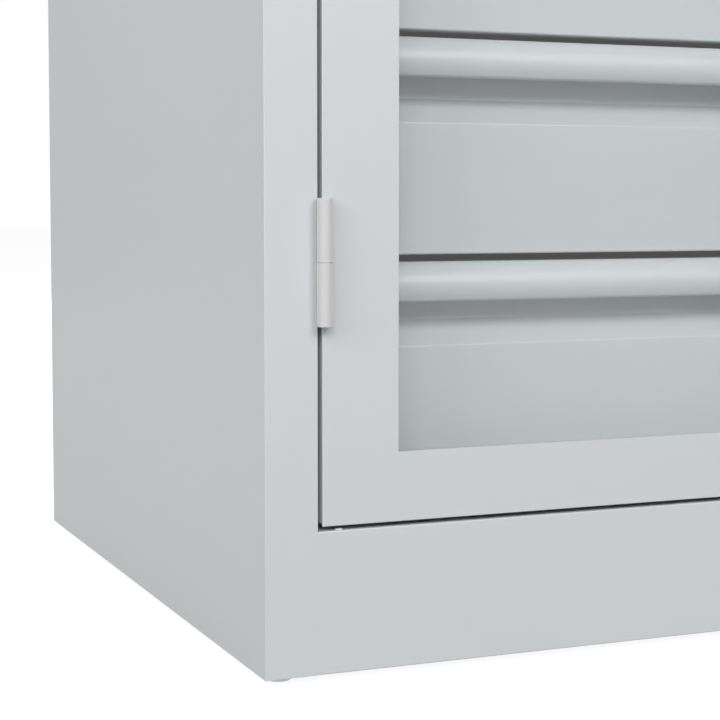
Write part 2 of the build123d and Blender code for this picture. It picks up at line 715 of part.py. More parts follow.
def retainer_nuts():
    """Nuts on the studs of the right-hand door."""
    with BuildPart() as nuts:
        with BuildSketch(front_plane(2 * SHEET + PANE_THICKNESS)):
            with Locations(*stud_places()):
                RegularPolygon(NUT_WIDTH / 2, 6, major_radius=False)
                Circle(STUD_RADIUS, mode=Mode.SUBTRACT)
        extrude(amount=-NUT_HEIGHT)
    return nuts.part


def door_knuckles():
    """Upper halves of the right-hand door's hinges, each with the nose that is welded to the sheet."""
    with BuildPart() as knuckles:
        for centre_z in HINGE_HEIGHTS:
            base = Plane(origin=(HINGE_X, HINGE_Y, centre_z + HINGE_BREAK / 2))
            with BuildSketch(base):
                Circle(HINGE_RADIUS)
                with BuildLine():
                    Polyline(
                        (-1, HINGE_FORWARD),
                        (-6.5, HINGE_FORWARD),
                        (-4.4, 2),
                        (-1, 3.5),
                        close=True,
                    )
                make_face()
                Circle(PIN_RADIUS + PIN_CLEARANCE, mode=Mode.SUBTRACT)
            extrude(amount=HINGE_HALF)
    return knuckles.part


for hand_name in ("left", "right"):
    pieces = {
        "panel": door_panel(with_lock=hand_name == "right"),
        "window": window_pane(),
        "retainers": window_retainers(),
        "nuts": retainer_nuts(),
        "knuckles": door_knuckles(),
    }
    for piece_name, piece in pieces.items():
        with BuildPart() as door_piece:
            if hand_name == "right":
                add(piece)
            else:
                mirror(piece, about=Plane.YZ)
        door_piece.part.label = f"{hand_name}_door_{piece_name}"
        export_step(door_piece.part, f"parts/{hand_name}_door_{piece_name}.step")

# Lower halves of the hinges, with leaves welded into the gap beside the door, and their pins

LEAF_THICKNESS = 1.5
LEAF_DEPTH = 12.0
LEAF_OFFSET = HINGE_FROM_SIDE - POST_FACE
PIN_RECESS = 2.0

with BuildPart() as right_frame_knuckles:
    for centre_z in HINGE_HEIGHTS:
        with BuildSketch(Plane(origin=(HINGE_X, HINGE_Y, centre_z - HINGE_BREAK / 2))):
            Circle(HINGE_RADIUS)
            with Locations((LEAF_OFFSET - LEAF_THICKNESS / 2, 2)):
                leaf_length = HINGE_FORWARD + LEAF_DEPTH - 2
                Rectangle(LEAF_THICKNESS, leaf_length, align=(Align.CENTER, Align.MIN))
            Circle(PIN_RADIUS, mode=Mode.SUBTRACT)
        extrude(amount=-HINGE_HALF)

with BuildPart() as frame_knuckles:
    add(right_frame_knuckles.part)
    mirror(right_frame_knuckles.part, about=Plane.YZ)
frame_knuckles.part.label = "frame_knuckles"
export_step(frame_knuckles.part, "parts/frame_knuckles.step")

with BuildPart() as hinge_pins:
    for centre_z in HINGE_HEIGHTS:
        with BuildSketch(Plane.XY.offset(centre_z - HINGE_LENGTH / 2)):
            with Locations((-HINGE_X, HINGE_Y), (HINGE_X, HINGE_Y)):
                Circle(PIN_RADIUS)
        extrude(amount=HINGE_LENGTH - PIN_RECESS)
hinge_pins.part.label = "hinge_pins"
export_step(hinge_pins.part, "parts/hinge_pins.step")

# Plastic glides on the plinth, one under the hinge edge of each door

GLIDE_FROM_SIDE = 50.9
GLIDE_SETBACK = 4.6
GLIDE_RADIUS = 2.4
GLIDE_HEIGHT = 0.8

with BuildPart() as door_glides:
    with BuildSketch(Plane.XY.offset(PLINTH_TOP)):
        with Locations((0, FRONT + GLIDE_SETBACK)):
            with GridLocations(WIDTH - 2 * GLIDE_FROM_SIDE, 0, 2, 1):
                Circle(GLIDE_RADIUS)
    extrude(amount=GLIDE_HEIGHT)
    fillet(door_glides.edges().group_by(Axis.Z)[-1], radius=0.6)
door_glides.part.label = "door_glides"
export_step(door_glides.part, "parts/door_glides.step")

# Rubber bumpers between the doors and the stops on the posts

BUMPER_X = WIDTH / 2 - POST_FACE - STOP_FLANGE / 2 - 1.5
BUMPER_HEIGHTS = (400.0, DOOR_CENTRE_Z, 1600.0)

with BuildPart() as door_bumpers:
    with BuildSketch(front_plane(DOOR_THICKNESS)):
        for bumper_z in BUMPER_HEIGHTS:
            with Locations((-BUMPER_X, bumper_z), (BUMPER_X, bumper_z)):
                Circle(BUMPER_RADIUS)
    extrude(amount=-(POST_DEPTH - DOOR_THICKNESS))
door_bumpers.part.label = "door_bumpers"
export_step(door_bumpers.part, "parts/door_bumpers.step")

# Lock of the right door: case, plate outside, spindle, cam, lever and key cylinder

CASE_HALF_WIDTH = 23.0
CASE_HEIGHT = 90.0
CASE_BACK = 20.0
SPINDLE_HOLE_RADIUS = 6.1
PLATE_WIDTH = 44.0
PLATE_HEIGHT = 130.0
PLATE_THICKNESS = 8.0
BOSS_RADIUS = 17.0
BOSS_START = 10.0
LEVER_LENGTH = 115.0
LEVER_WIDTH = 22.0
LEVER_THICKNESS = 12.0
LEVER_FRONT = 42.0
CYLINDER_RADIUS = 8.0
CYLINDER_CLEARANCE = 0.08
CYLINDER_LENGTH = 18.0
KEYWAY_LENGTH = 9.0
KEYWAY_WIDTH = 2.0
KEYWAY_DEPTH = 6.0
CAM_FRONT = 8.0
CAM_THICKNESS = 3.0
CAM_PIN_END = 17.5
SPINDLE_END = 12.0

with BuildPart() as lock_case:
    with BuildSketch(plan_plane(HANDLE_HEIGHT - CASE_HEIGHT / 2)):
        with Locations((SPINDLE_X - SIDE, SHEET)):
            Rectangle(2 * CASE_HALF_WIDTH, CASE_BACK - SHEET, align=(Align.CENTER, Align.MIN))
        with Locations((SPINDLE_X - SIDE, 2 * SHEET)):
            inner_width = 2 * (CASE_HALF_WIDTH - SHEET)
            inner_depth = CASE_BACK - 3 * SHEET
            Rectangle(
                inner_width, inner_depth, align=(Align.CENTER, Align.MIN), mode=Mode.SUBTRACT
            )
    extrude(amount=CASE_HEIGHT)
    with BuildSketch(front_plane(SHEET)):
        with Locations((SPINDLE_X, HANDLE_HEIGHT)):
            Circle(SPINDLE_HOLE_RADIUS)
    extrude(amount=-SHEET, mode=Mode.SUBTRACT)
lock_case.part.label = "lock_case"
export_step(lock_case.part, "parts/lock_case.step")

with BuildPart() as lock_plate:
    with BuildSketch(front_plane(0)):
        with Locations((SPINDLE_X, HANDLE_HEIGHT)):
            RectangleRounded(PLATE_WIDTH, PLATE_HEIGHT, PLATE_WIDTH / 2 - 1)
    extrude(amount=PLATE_THICKNESS)
    fillet(lock_plate.edges().group_by(Axis.Y)[0], radius=3)
    with BuildSketch(front_plane(0)):
        with Locations((SPINDLE_X, HANDLE_HEIGHT)):
            Circle(SPINDLE_HOLE_RADIUS)
    extrude(amount=PLATE_THICKNESS, mode=Mode.SUBTRACT)
lock_plate.part.label = "lock_plate"
export_step(lock_plate.part, "parts/lock_plate.step")

with BuildPart() as lever_handle:
    with BuildSketch(front_plane(-BOSS_START)):
        with Locations((SPINDLE_X, HANDLE_HEIGHT)):
            Circle(BOSS_RADIUS)
    extrude(amount=HANDLE_REACH - BOSS_START)
    with BuildSketch(front_plane(-(LEVER_FRONT - LEVER_THICKNESS))):
        with Locations((SPINDLE_X + LEVER_LENGTH / 2, HANDLE_HEIGHT)):
            SlotCenterToCenter(LEVER_LENGTH, LEVER_WIDTH)
    extrude(amount=LEVER_THICKNESS)
    fillet(lever_handle.edges().group_by(Axis.Y)[0], radius=1.5)
    with BuildSketch(front_plane(-BOSS_START)):
        with Locations((SPINDLE_X, HANDLE_HEIGHT)):
            Rectangle(SPINDLE_SIZE, SPINDLE_SIZE)
    spindle_grip = HANDLE_REACH - CYLINDER_LENGTH - BOSS_START - 1
    extrude(amount=spindle_grip, mode=Mode.SUBTRACT)
    with BuildSketch(front_plane(-HANDLE_REACH)):
        with Locations((SPINDLE_X, HANDLE_HEIGHT)):
            Circle(CYLINDER_RADIUS + CYLINDER_CLEARANCE)
    extrude(amount=-CYLINDER_LENGTH, mode=Mode.SUBTRACT)
lever_handle.part.label = "lever_handle"
export_step(lever_handle.part, "parts/lever_handle.step")

with BuildPart() as key_cylinder:
    with BuildSketch(front_plane(-HANDLE_REACH)):
        with Locations((SPINDLE_X, HANDLE_HEIGHT)):
            Circle(CYLINDER_RADIUS)
    extrude(amount=-(CYLINDER_LENGTH - CYLINDER_CLEARANCE))
    with BuildSketch(front_plane(-HANDLE_REACH)):
        with Locations((SPINDLE_X, HANDLE_HEIGHT)):
            Rectangle(KEYWAY_WIDTH, KEYWAY_LENGTH)
    extrude(amount=-KEYWAY_DEPTH, mode=Mode.SUBTRACT)
key_cylinder.part.label = "key_cylinder"
export_step(key_cylinder.part, "parts/key_cylinder.step")

with BuildPart() as lock_spindle:
    with BuildSketch(front_plane(-(BOSS_START + spindle_grip))):
        with Locations((SPINDLE_X, HANDLE_HEIGHT)):
            Rectangle(SPINDLE_SIZE, SPINDLE_SIZE)
    extrude(amount=-(BOSS_START + spindle_grip + SPINDLE_END))
lock_spindle.part.label = "lock_spindle"
export_step(lock_spindle.part, "parts/lock_spindle.step")

with BuildPart() as lock_cam:
    with BuildSketch(front_plane(CAM_FRONT)):
        with Locations((SPINDLE_X, HANDLE_HEIGHT)):
            Circle(CAM_RADIUS)
            Rectangle(SPINDLE_SIZE, SPINDLE_SIZE, mode=Mode.SUBTRACT)
    extrude(amount=-CAM_THICKNESS)
    with BuildSketch(front_plane(CAM_FRONT + CAM_THICKNESS)):
        for sign in (-1, 1):
            place = (SPINDLE_X + sign * CAM_PIN_OFFSET, HANDLE_HEIGHT + sign * CAM_PIN_OFFSET)
            with Locations(place):
                Circle(CAM_PIN_RADIUS)
    extrude(amount=-(CAM_PIN_END - CAM_FRONT - CAM_THICKNESS))
lock_cam.part.label = "lock_cam"
export_step(lock_cam.part, "parts/lock_cam.step")

# Lock rods, each with a slotted plate over its cam pin

EYE_WIDTH = 17.5
EYE_HEIGHT = 16.0
PIN_SLACK = 0.8
SLOT_REACH = 2 ** 0.5 * CAM_PIN_OFFSET - CAM_PIN_OFFSET

for rod_name, sign, tip in (
    ("upper", 1, DOOR_TOP - ROD_END_INSET),
    ("lower", -1, DOOR_BOTTOM + ROD_END_INSET),
):
    pin_x = SPINDLE_X - sign * CAM_PIN_OFFSET
    pin_z = HANDLE_HEIGHT - sign * CAM_PIN_OFFSET
    slot_width = SLOT_REACH + 2 * (CAM_PIN_RADIUS + PIN_SLACK)
    with BuildPart() as rod:
        with BuildSketch(front_plane(ROD_DEPTH)):
            with Locations((SPINDLE_X - sign * ROD_OFFSET, (pin_z + tip) / 2)):
                Rectangle(ROD_WIDTH, abs(tip - pin_z))
            with Locations((SPINDLE_X - sign * ROD_OFFSET, pin_z)):
                Rectangle(EYE_WIDTH, EYE_HEIGHT)
            with Locations((pin_x - sign * SLOT_REACH / 2, pin_z)):
                Rectangle(slot_width, 2 * (CAM_PIN_RADIUS + PIN_SLACK), mode=Mode.SUBTRACT)
        extrude(amount=-ROD_THICKNESS)
    rod.part.label = f"{rod_name}_lock_rod"
    export_step(rod.part, f"parts/{rod_name}_lock_rod.step")

# Guides that keep the lock rods straight

GUIDE_WIDTH = 20.0
GUIDE_HEIGHT = 12.0
GUIDE_BACK = 19.0
GUIDE_CLEARANCE = 0.3

with BuildPart() as rod_guides:
    for sign, guide_heights in ((1, (1300.0, 1600.0, 1860.0)), (-1, (150.0, 410.0, 710.0))):
        for guide_z in guide_heights:
            with BuildSketch(plan_plane(guide_z)):
                with Locations((SPINDLE_X - sign * ROD_OFFSET - SIDE, SHEET)):
                    Rectangle(GUIDE_WIDTH, GUIDE_BACK - SHEET, align=(Align.CENTER, Align.MIN))
                with Locations((SPINDLE_X - sign * ROD_OFFSET - SIDE, ROD_MIDDLE)):
                    Rectangle(
                        ROD_WIDTH + 2 * GUIDE_CLEARANCE,
                        ROD_THICKNESS + 2 * GUIDE_CLEARANCE,
                        mode=Mode.SUBTRACT,
                    )
            extrude(amount=GUIDE_HEIGHT)
rod_guides.part.label = "rod_guides"
export_step(rod_guides.part, "parts/rod_guides.step")
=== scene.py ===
import json
import math

import bpy
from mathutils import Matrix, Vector


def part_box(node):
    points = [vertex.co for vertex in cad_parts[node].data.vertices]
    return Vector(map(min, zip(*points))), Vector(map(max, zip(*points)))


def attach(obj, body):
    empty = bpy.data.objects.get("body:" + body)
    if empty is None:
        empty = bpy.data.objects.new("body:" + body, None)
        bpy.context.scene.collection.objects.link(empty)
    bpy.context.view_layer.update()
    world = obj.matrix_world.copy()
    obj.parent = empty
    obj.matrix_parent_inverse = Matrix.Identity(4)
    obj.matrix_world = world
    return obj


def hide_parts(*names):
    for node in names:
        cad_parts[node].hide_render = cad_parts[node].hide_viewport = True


# Finishes, small fittings, floor, light and camera for the heavy-duty window-door cabinet.
# Metres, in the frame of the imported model: X along the front, Y to the back, Z up.

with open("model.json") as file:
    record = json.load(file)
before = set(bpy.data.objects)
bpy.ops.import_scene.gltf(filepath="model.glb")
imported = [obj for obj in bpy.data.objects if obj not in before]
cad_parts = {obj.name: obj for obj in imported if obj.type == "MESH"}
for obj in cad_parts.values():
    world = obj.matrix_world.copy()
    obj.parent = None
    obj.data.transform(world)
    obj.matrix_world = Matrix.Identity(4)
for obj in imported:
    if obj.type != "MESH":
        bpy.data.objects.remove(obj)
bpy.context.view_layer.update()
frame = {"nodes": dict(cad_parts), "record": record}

MM = 0.001

# The eye point that fits the photograph's level edges: place, degrees to the right, degrees down,
# lens in millimetres and shift as a share of the picture
EYE = (-0.85589, -1.29391, 0.30411)
EYE_TURN = 22.448
EYE_DROP = 3.752
EYE_LENS = 87.42
EYE_SHIFT = -0.06

# Paint and metal colours from 0 to 255, as they read on the photograph
PAINT_GREY = (205, 208, 210)
HINGE_GREY = (197, 197, 196)
ZINC_GREY = (181, 184, 187)
NYLON_BLACK = (30, 30, 32)
CHROME_GREY = (214, 214, 214)
RUBBER_BLACK = (34, 34, 34)
GLIDE_WHITE = (222, 222, 218)
PANE_TINT = (250, 252, 252)

# Share of red, green and blue that a pane lets through
PANE_THROUGH = (0.93, 0.94, 0.94, 1.0)

# Radius with which light rounds the cut edges and bends
EDGE_ROUNDING = 0.0003

# Spot welds up the rear flanges: distance from the middle of the cabinet, pitch, radius of the flat
# bottom and of the rim, depth against the orange peel's, and the Y behind which they lie
WELD_FROM_MIDDLE = 0.49
WELD_PITCH = 0.075
WELD_BOTTOM = 0.0016
WELD_RIM = 0.0030
WELD_DENT = 5.0
WELD_BEHIND = 0.3
WELDED_NODES = ("left_side_panel", "right_side_panel")

# Soft boxes: place, point that they face, width and watts
LAMPS = {
    "front_lamp": ((1.1, -4.5, 3.1), (-0.2, -0.28, 0.4), 2.2, 115.0),
    "fill_lamp": ((-2.1, -4.1, 3.0), (-0.4, -0.28, 0.3), 2.2, 94.0),
    "side_lamp": ((-3.0, -1.3, 1.7), (-0.5, 0.0, 0.5), 2.0, 42.0),
    "right_lamp": ((3.0, 1.2, 1.9), (0.5, 0.0, 0.6), 2.0, 42.0),
    "rear_lamp": ((0.0, 4.2, 1.2), (0.0, 0.3, 0.9), 1.0, 90.0),
}

# Strength of the light from all round, and the floor: its width, its shade for the light that it throws
# on the cabinet, and its shade and glow for the eye
ROUND_LIGHT = 0.17
FLOOR_WIDTH = 40.0
FLOOR_SHADE = 0.38
SEEN_SHADE = 0.26
SEEN_GLOW = 0.93

# Lock: radius and length of the barrel, play round it, radius of the lever's hub, height of the plate's
# screws above and below the spindle, and the arms of their cross recess
BARREL_RADIUS = 8 * MM
BARREL_DEPTH = 18 * MM
BARREL_PLAY = 0.15 * MM
HUB_RADIUS = 17 * MM
SCREW_FROM_SPINDLE = 47 * MM
CROSS_LENGTH = 3.8 * MM
CROSS_WIDTH = 0.8 * MM

# Feet: height of the disc, the stem with its thread, and the hexagon socket in its upper end
DISC_HEIGHT = 4.5 * MM
STEM_RADIUS = 5 * MM
THREAD_FROM = 5 * MM
THREAD_PITCH = 1.5 * MM
THREAD_DEPTH = 0.65 * MM
THREAD_TURNS = 32
SOCKET_RADIUS = 2.9 * MM
SOCKET_DEPTH = 6 * MM


def linear_colour(grey):
    """Linear colour of a shade given as red, green and blue from 0 to 255."""
    shares = [part / 255 for part in grey]
    return [share / 12.92 if share <= 0.04045 else ((share + 0.055) / 1.055) ** 2.4 for share in shares]


def feed(tree, node, inputs):
    """Inputs of a node by name or number, each a value to set or an output to join."""
    for name, value in inputs.items():
        if isinstance(value, bpy.types.NodeSocket):
            tree.links.new(value, node.inputs[name])
        else:
            node.inputs[name].default_value = value


def new_node(tree, kind, inputs=None, **settings):
    """Node with its properties set and its inputs fed."""
    node = tree.nodes.new(kind)
    for name, value in settings.items():
        setattr(node, name, value)
    feed(tree, node, inputs or {})
    return node


def math_node(tree, operation, first, second=None, clamp=False):
    """Output of a Math node, each side an output or a number."""
    inputs = {0: first} if second is None else {0: first, 1: second}
    return new_node(tree, "ShaderNodeMath", inputs, operation=operation, use_clamp=clamp).outputs[0]


def object_place(tree):
    """Place of the shaded point in metres. It stays on the piece when the piece moves."""
    return new_node(tree, "ShaderNodeTexCoord").outputs["Object"]


def noise(tree, place, scale, detail):
    """Smooth noise, mostly near 0.5."""
    inputs = {"Vector": place, "Scale": scale, "Detail": detail}
    return new_node(tree, "ShaderNodeTexNoise", inputs).outputs["Fac"]


def new_group(name, takes, gives):
    """Empty shader group. It takes numbers, given here with their defaults, and gives numbers or vectors."""
    kinds = {"number": "NodeSocketFloat", "vector": "NodeSocketVector"}
    group = bpy.data.node_groups.new(name, "ShaderNodeTree")
    for label, value in takes.items():
        socket = group.interface.new_socket(label, in_out="INPUT", socket_type=kinds["number"])
        socket.default_value = value
    for label, kind in gives.items():
        group.interface.new_socket(label, in_out="OUTPUT", socket_type=kinds[kind])
    return group, group.nodes.new("NodeGroupInput").outputs, group.nodes.new("NodeGroupOutput")


def place_group(tree, group, values=None):
    """Outputs of a group placed in a material. Values not given here keep the group's defaults."""
    return new_node(tree, "ShaderNodeGroup", values, node_tree=group).outputs


def make_orange_peel():
    """Height of the soft waves and the fine grain of a baked powder coat."""
    takes = {"Wave scale": 380.0, "Grain scale": 2400.0, "Grain share": 0.35}
    group, taken, end = new_group("orange_peel", takes, {"Height": "number"})
    place = object_place(group)
    waves = noise(group, place, taken["Wave scale"], 2.0)
    grain = noise(group, place, taken["Grain scale"], 1.0)
    fine = math_node(group, "MULTIPLY", grain, taken["Grain share"])
    feed(group, end, {"Height": math_node(group, "ADD", waves, fine)})
    return group


def make_weld_dots():
    """1 in the shallow spot welds that run up the rear flanges, and 0 beside them."""
    takes = {"From middle": WELD_FROM_MIDDLE, "Pitch": WELD_PITCH}
    group, taken, end = new_group("weld_dots", takes, {"Dimple": "number"})
    place = new_node(group, "ShaderNodeSeparateXYZ", {0: object_place(group)}).outputs
    side = math_node(group, "ABSOLUTE", place["X"])
    across = math_node(group, "SUBTRACT", side, taken["From middle"])
    row = math_node(group, "DIVIDE", place["Z"], taken["Pitch"])
    within_row = math_node(group, "SUBTRACT", math_node(group, "FRACT", row), 0.5)
    up = math_node(group, "MULTIPLY", within_row, taken["Pitch"])
    squares = [math_node(group, "MULTIPLY", way, way) for way in (across, up)]
    distance = math_node(group, "SQRT", math_node(group, "ADD", *squares))
    span = {"Value": distance, "From Min": WELD_BOTTOM, "From Max": WELD_RIM, "To Min": 1.0, "To Max": 0.0}
    fade = new_node(group, "ShaderNodeMapRange", span, interpolation_type="SMOOTHSTEP").outputs[0]
    behind = math_node(group, "GREATER_THAN", place["Y"], WELD_BEHIND)
    feed(group, end, {"Dimple": math_node(group, "MULTIPLY", fade, behind)})
    return group


def make_soft_edges():
    """Rounded normal along cut edges and bends, and a mask of where it turns."""
    gives = {"Normal": "vector", "Edge": "number"}
    group, taken, end = new_group("soft_edges", {"Radius": EDGE_ROUNDING}, gives)
    rounded = new_node(group, "ShaderNodeBevel", {"Radius": taken["Radius"]}, samples=6).outputs["Normal"]
    sharp = new_node(group, "ShaderNodeNewGeometry").outputs["Normal"]
    turn = new_node(group, "ShaderNodeVectorMath", {0: rounded, 1: sharp}, operation="DOT_PRODUCT")
    bend = math_node(group, "SUBTRACT", 1.0, turn.outputs["Value"], clamp=True)
    feed(group, end, {"Normal": rounded, "Edge": math_node(group, "MULTIPLY", bend, 6.0, clamp=True)})
    return group


def make_shade_drift():
    """Slow change of shade over a surface, from about 1 - spread to 1 + spread."""
    group, taken, end = new_group("shade_drift", {"Scale": 2.5, "Spread": 0.006}, {"Factor": "number"})
    cloud = noise(group, object_place(group), taken["Scale"], 3.0)
    centred = math_node(group, "SUBTRACT", cloud, 0.5)
    swing = math_node(group, "MULTIPLY", centred, taken["Spread"])
    widened = math_node(group, "MULTIPLY", swing, 4.0)
    feed(group, end, {"Factor": math_node(group, "ADD", widened, 1.0)})
    return group


def make_brush_lines():
    """Fine lines drawn along Z, as rolled and plated steel has, and a bloom in its shine."""
    gives = {"Height": "number", "Shine": "number"}
    group, taken, end = new_group("brush_lines", {"Line scale": 1800.0}, gives)
    place = object_place(group)
    drawn = new_node(group, "ShaderNodeMapping", {"Vector": place, "Scale": (1.0, 1.0, 0.02)})
    lines = noise(group, drawn.outputs["Vector"], taken["Line scale"], 2.0)
    feed(group, end, {"Height": lines, "Shine": noise(group, place, 60.0, 4.0)})
    return group


ORANGE_PEEL = make_orange_peel()
WELD_DOTS = make_weld_dots()
SOFT_EDGES = make_soft_edges()
SHADE_DRIFT = make_shade_drift()
BRUSH_LINES = make_brush_lines()


def new_finish(name):
    """Material with one Principled shader. Gives the material, its tree and the shader."""
    finish = bpy.data.materials.new(name)
    finish.use_nodes = True
    return finish, finish.node_tree, finish.node_tree.nodes["Principled BSDF"]


def tinted(tree, grey, factor):
    """Colour multiplied by a factor that varies around 1."""
    inputs = {0: linear_colour(grey), "Scale": factor}
    return new_node(tree, "ShaderNodeVectorMath", inputs, operation="SCALE").outputs[0]


def bumped(tree, height, strength, distance, normal=None):
    """Normal of a surface with a bump, on top of another normal where one is given."""
    inputs = {"Strength": strength, "Distance": distance, "Height": height}
    if normal is not None:
        inputs["Normal"] = normal
    return new_node(tree, "ShaderNodeBump", inputs).outputs["Normal"]


def powder_coat(name, grey, welded=False):
    """Satin powder coat: orange-peel bump, a painted highlight that lightens the colour along edges and
    bends, roughness that varies a little.
    """
    finish, tree, shader = new_finish(name)
    drift = place_group(tree, SHADE_DRIFT)["Factor"]
    edges = place_group(tree, SOFT_EDGES)
    height = place_group(tree, ORANGE_PEEL)["Height"]
    if welded:
        dimple = place_group(tree, WELD_DOTS)["Dimple"]
        height = math_node(tree, "SUBTRACT", height, math_node(tree, "MULTIPLY", dimple, WELD_DENT))
    # Painted highlight: the base colour is lightened by 1.5 % where the edge mask turns
    painted_edge_highlight = math_node(tree, "MULTIPLY", edges["Edge"], 0.015)
    feed(tree, shader, {
        "Base Color": tinted(tree, grey, math_node(tree, "ADD", drift, painted_edge_highlight)),
        "Roughness": math_node(tree, "MULTIPLY", drift, 0.36),
        "Normal": bumped(tree, height, 0.35, 0.00006, edges["Normal"]),
        "IOR": 1.5,
    })
    return finish


def plated_steel(name, grey, roughness, line_scale):
    """Plated steel with drawn lines and a faint bloom in its shine."""
    finish, tree, shader = new_finish(name)
    lines = place_group(tree, BRUSH_LINES, {"Line scale": line_scale})
    rounded = place_group(tree, SOFT_EDGES)["Normal"]
    drift = place_group(tree, SHADE_DRIFT, {"Scale": 30.0, "Spread": 0.03})["Factor"]
    bloom = math_node(tree, "MULTIPLY", lines["Shine"], 0.14)
    feed(tree, shader, {
        "Base Color": tinted(tree, grey, drift),
        "Roughness": math_node(tree, "ADD", bloom, roughness),
        "Normal": bumped(tree, lines["Height"], 0.25, 0.00003, rounded),
        "Metallic": 1.0,
    })
    return finish


def hinge_metal(name, grey):
    """Matt zinc of the hinges: a soft shine from all round, with faint bands along the barrel painted into
    its colour, part drawn lines and part painted reflection banding.
    """
    finish, tree, shader = new_finish(name)
    lines = place_group(tree, BRUSH_LINES, {"Line scale": 500.0})["Height"]
    # Painted reflection: the drawn-line noise lightens and darkens the colour in bands along the barrel
    painted_reflection_band = math_node(tree, "MULTIPLY", lines, 0.06)
    feed(tree, shader, {
        "Base Color": tinted(tree, grey, math_node(tree, "ADD", painted_reflection_band, 0.97)),
        "Normal": place_group(tree, SOFT_EDGES)["Normal"],
        "Roughness": 0.6,
        "Metallic": 0.15,
        "Sheen Weight": 1.0,
        "Sheen Roughness": 0.5,
    })
    return finish


def moulded_plastic(name, grey, roughness, grain_scale):
    """Glass-filled nylon or rubber with a fine moulded grain."""
    finish, tree, shader = new_finish(name)
    peel = {"Wave scale": 900.0, "Grain scale": grain_scale, "Grain share": 1.0}
    height = place_group(tree, ORANGE_PEEL, peel)["Height"]
    drift = place_group(tree, SHADE_DRIFT, {"Scale": 40.0, "Spread": 0.04})["Factor"]
    feed(tree, shader, {
        "Base Color": tinted(tree, grey, drift),
        "Roughness": math_node(tree, "MULTIPLY", drift, roughness),
        "Normal": bumped(tree, height, 0.5, 0.00008),
    })
    return finish


def clear_sheet(name, tint):
    """Clear acrylic pane. The lamps' light goes straight through it."""
    finish, tree, shader = new_finish(name)
    drift = place_group(tree, SHADE_DRIFT, {"Scale": 6.0, "Spread": 0.002})["Factor"]
    feed(tree, shader, {
        "Base Color": tinted(tree, tint, drift),
        "Transmission Weight": 1.0,
        "Roughness": 0.0,
        "IOR": 1.49,
    })
    through = new_node(tree, "ShaderNodeBsdfTransparent", {"Color": PANE_THROUGH})
    path = new_node(tree, "ShaderNodeLightPath").outputs
    lit = math_node(tree, "MAXIMUM", path["Is Shadow Ray"], path["Is Diffuse Ray"])
    choice = new_node(tree, "ShaderNodeMixShader", {0: lit, 1: shader.outputs[0], 2: through.outputs[0]})
    feed(tree, tree.nodes["Material Output"], {"Surface": choice.outputs[0]})
    return finish


FINISHES = {
    "cabinet_paint": powder_coat("cabinet_powder_coat", PAINT_GREY),
    "hinge_metal": hinge_metal("hinge_steel", HINGE_GREY),
    "zinc_steel": plated_steel("zinc_plate", ZINC_GREY, 0.26, 1800.0),
    "clear_pane": clear_sheet("clear_acrylic", PANE_TINT),
    "lever_plastic": moulded_plastic("black_nylon", NYLON_BLACK, 0.5, 5200.0),
    "cylinder_chrome": plated_steel("lock_chrome", CHROME_GREY, 0.08, 4000.0),
    "bumper_rubber": moulded_plastic("bumper_rubber", RUBBER_BLACK, 0.75, 3600.0),
    "glide_nylon": moulded_plastic("white_nylon", GLIDE_WHITE, 0.45, 4200.0),
}
WELDED_COAT = powder_coat("welded_powder_coat", PAINT_GREY, welded=True)


def finish_nodes():
    """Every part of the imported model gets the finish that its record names."""
    for part in frame["record"]["subparts"]:
        materials = frame["nodes"][part["node"]].data.materials
        finish = WELDED_COAT if part["node"] in WELDED_NODES else FINISHES[part["material_slot"]]
        if not materials:
            materials.append(finish)
        for place in range(len(materials)):
            materials[place] = finish


finish_nodes()


def select_only(piece=None):
    """This piece selected and active, or nothing selected."""
    bpy.ops.object.select_all(action="DESELECT")
    if piece is not None:
        piece.select_set(True)
        bpy.context.view_layer.objects.active = piece


def settle(piece):
    """Place, turn and scale moved into the mesh, and its faces turned outwards."""
    select_only(piece)
    bpy.ops.object.transform_apply(location=True, rotation=True, scale=True)
    bpy.ops.object.mode_set(mode="EDIT")
    bpy.ops.mesh.select_all(action="SELECT")
    bpy.ops.mesh.normals_make_consistent(inside=False)
    bpy.ops.object.mode_set(mode="OBJECT")


def first_disc(name, start, turn, radius, vertices):
    """Disc from which a piece grows, left selected in edit mode."""
    select_only()
    bpy.ops.mesh.primitive_circle_add(
        vertices=vertices, radius=radius, fill_type="NGON", location=start, rotation=turn
    )
    piece = bpy.context.object
    piece.name = name
    bpy.ops.object.mode_set(mode="EDIT")
    bpy.ops.mesh.select_all(action="SELECT")
    return piece


def grown_bar(name, start, rings):
    """Bar grown along X from an oval ring. Each ring: distance on, distance back, half depth, half height."""
    bar = first_disc(name, start, (0, math.pi / 2, 0), radius=1.0, vertices=48)
    on, back, depth, height = 0.0, 0.0, 1.0, 1.0
    for place, (next_on, next_back, next_depth, next_height) in enumerate(rings):
        if place:
            bpy.ops.mesh.extrude_region_move(
                TRANSFORM_OT_translate={"value": (next_on - on, next_back - back, 0)}
            )
        centre = (start[0] + next_on, start[1] + next_back, start[2])
        bpy.ops.transform.resize(
            value=(1, next_depth / depth, next_height / height), center_override=centre
        )
        on, back, depth, height = next_on, next_back, next_depth, next_height
    bpy.ops.object.mode_set(mode="OBJECT")
    settle(bar)
    return bar


def turned_piece(name, start, rings, vertices=48):
    """Round piece grown towards the front. Each ring: distance on, radius."""
    on, radius = rings[0]
    piece = first_disc(name, start, (math.pi / 2, 0, 0), radius, vertices)
    for next_on, next_radius in rings[1:]:
        bpy.ops.mesh.extrude_region_move(TRANSFORM_OT_translate={"value": (0, on - next_on, 0)})
        centre = (start[0], start[1] - next_on, start[2])
        share = next_radius / radius
        bpy.ops.transform.resize(value=(share, 1, share), center_override=centre)
        on, radius = next_on, next_radius
    bpy.ops.object.mode_set(mode="OBJECT")
    settle(piece)
    return piece


def block(size, place):
    """Cutting block of a given size."""
    select_only()
    bpy.ops.mesh.primitive_cube_add(size=1.0, location=place, scale=size)
    bpy.ops.object.transform_apply(location=True, rotation=True, scale=True)
    return bpy.context.object


